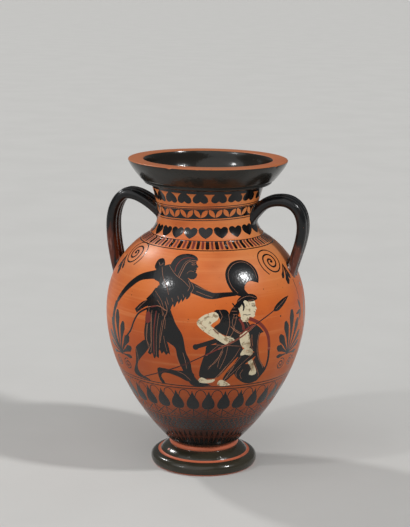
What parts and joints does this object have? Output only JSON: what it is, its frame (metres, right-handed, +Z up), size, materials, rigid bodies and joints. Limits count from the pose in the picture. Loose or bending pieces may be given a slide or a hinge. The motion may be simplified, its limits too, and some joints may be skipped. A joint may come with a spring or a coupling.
{
  "type": "neck amphora",
  "caption": "Painted clay neck amphora with a torus foot, ovoid hollow belly, flaring mouth with a flat lip, and triple-reeded handles from neck to shoulder.",
  "frame": {"origin": "centre of the foot's resting ring, on the surface it stands on", "axes": "+Z up along the turning axis, the two handles along X, the painted front towards -Y"},
  "size_m": [0.204, 0.1986, 0.31],
  "materials": {
    "painted_clay": "smoothed orange clay painted with black gloss, added white and added red"
  },
  "bodies": {
    "root": {"amphora": "painted_clay"}
  },
  "joints": []
}
